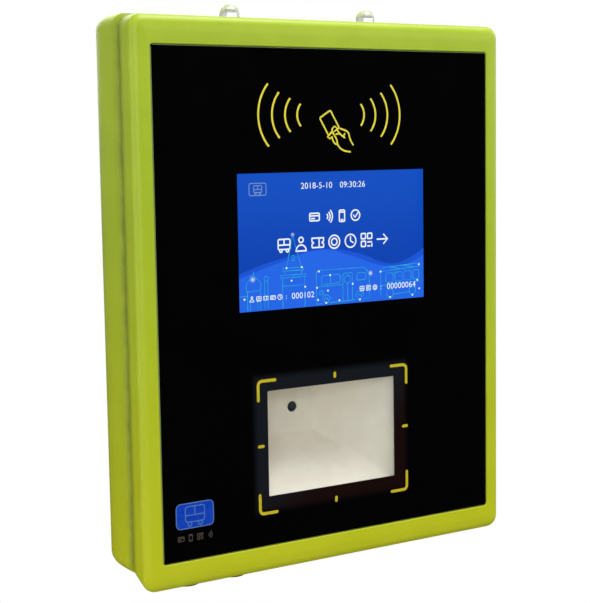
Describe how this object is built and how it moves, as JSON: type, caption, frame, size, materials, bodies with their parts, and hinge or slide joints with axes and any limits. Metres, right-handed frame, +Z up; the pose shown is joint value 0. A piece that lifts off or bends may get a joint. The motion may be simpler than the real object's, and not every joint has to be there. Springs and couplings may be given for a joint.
{
  "type": "bus fare validator",
  "caption": "Wall-mounted bus fare validator in a two-shell case with a glass front: colour display, contactless card reader, code-scanning window, status lamps and rear service door.",
  "frame": {"origin": "centre of the wall plate's outer face, where the validator meets its bracket or wall", "axes": "+Y out of the wall plate towards the bracket, so the glass front faces -Y; +Z up; +X to the right seen from the front"},
  "size_m": [0.21, 0.0486, 0.2796],
  "materials": {
    "lime_shell": "fine-textured moulded ABS, satin",
    "black_glass": "screen-printed black tempered glass, polished, with two clear windows",
    "dark_rubber": "matte moulded rubber",
    "foam_tape": "matte foam tape",
    "display": "lit colour display behind a polariser",
    "sheet_steel": "brushed zinc-plated sheet",
    "zinc_steel": "bright zinc plate",
    "circuit_board": "green solder mask, semi-gloss",
    "ferrite": "matte sintered ferrite",
    "cream_plastic": "matte diffusing plastic",
    "black_plastic": "matte moulded plastic",
    "flex_copper": "polyimide flat cable",
    "lens_glass": "coated lens glass",
    "clear_resin": "clear epoxy lens, polished",
    "ceramic": "glazed ceramic aerial block",
    "paper_cone": "coated paper cone",
    "nickel": "nickel plate",
    "red_button": "satin moulded plastic"
  },
  "bodies": {
    "case": {"front_housing": "lime_shell", "rear_housing": "lime_shell", "front_glass": "black_glass", "glass_tape": "foam_tape", "case_gasket": "dark_rubber", "wall_plate": "sheet_steel", "display_module": "display", "display_bracket": "sheet_steel", "display_ribbon": "flex_copper", "card_aerial_board": "circuit_board", "card_aerial_ferrite": "ferrite", "scan_reflector": "cream_plastic", "scan_camera": "black_plastic", "scan_lens": "lens_glass", "scan_light_board": "circuit_board", "main_board": "circuit_board", "processor_shield": "nickel", "clock_cell_holder": "black_plastic", "clock_cell": "nickel", "power_capacitor_1": "sheet_steel", "power_capacitor_2": "sheet_steel", "service_board": "circuit_board", "access_socket_1": "nickel", "access_socket_2": "nickel", "network_socket": "nickel", "reset_switch": "black_plastic", "door_hinge_pin": "zinc_steel", "door_seal": "dark_rubber", "power_connector": "nickel", "power_connector_nut": "nickel", "data_connector": "nickel", "data_connector_nut": "nickel", "vent_plug": "black_plastic", "service_port": "nickel", "port_board": "circuit_board", "speaker_frame": "sheet_steel", "speaker_cone": "paper_cone", "speaker_magnet": "ferrite", "lamp_lens_left": "clear_resin", "lamp_lens_right": "clear_resin", "lamp_board": "circuit_board", "position_aerial": "ceramic", "network_aerial": "circuit_board", "plate_screw_1": "zinc_steel", "plate_screw_2": "zinc_steel", "plate_screw_3": "zinc_steel", "plate_screw_4": "zinc_steel", "case_screw_1": "zinc_steel", "case_screw_2": "zinc_steel", "case_screw_3": "zinc_steel", "case_screw_4": "zinc_steel", "case_screw_5": "zinc_steel", "case_screw_6": "zinc_steel"},
    "service_door": {"service_door": "lime_shell", "lock_body": "nickel", "lock_nut": "nickel"},
    "lock": {"lock_plug": "nickel", "lock_cam": "zinc_steel"},
    "reset_button": {"reset_button": "red_button"},
    "port_flap": {"port_flap": "dark_rubber"}
  },
  "joints": [
    {"name": "service_door_hinge", "type": "hinge", "parent": "case", "child": "service_door", "pos_m": [0, -0.0051, 0.109], "axis": [1, 0, 0], "range_deg": [0, 105]},
    {"name": "lock_turn", "type": "hinge", "parent": "service_door", "child": "lock", "pos_m": [-0.027, -0.0051, 0.083], "axis": [0, 1, 0], "range_deg": [0, 90]},
    {"name": "reset_press", "type": "slide", "parent": "case", "child": "reset_button", "axis": [0, -1, 0], "range_m": [0, 0.0008], "stiffness_N_per_m": 400, "springref_m": -0.0005},
    {"name": "port_flap_hinge", "type": "hinge", "parent": "case", "child": "port_flap", "pos_m": [-0.016, -0.0111, -0.1291], "axis": [1, 0, 0], "range_deg": [0, 100]}
  ]
}
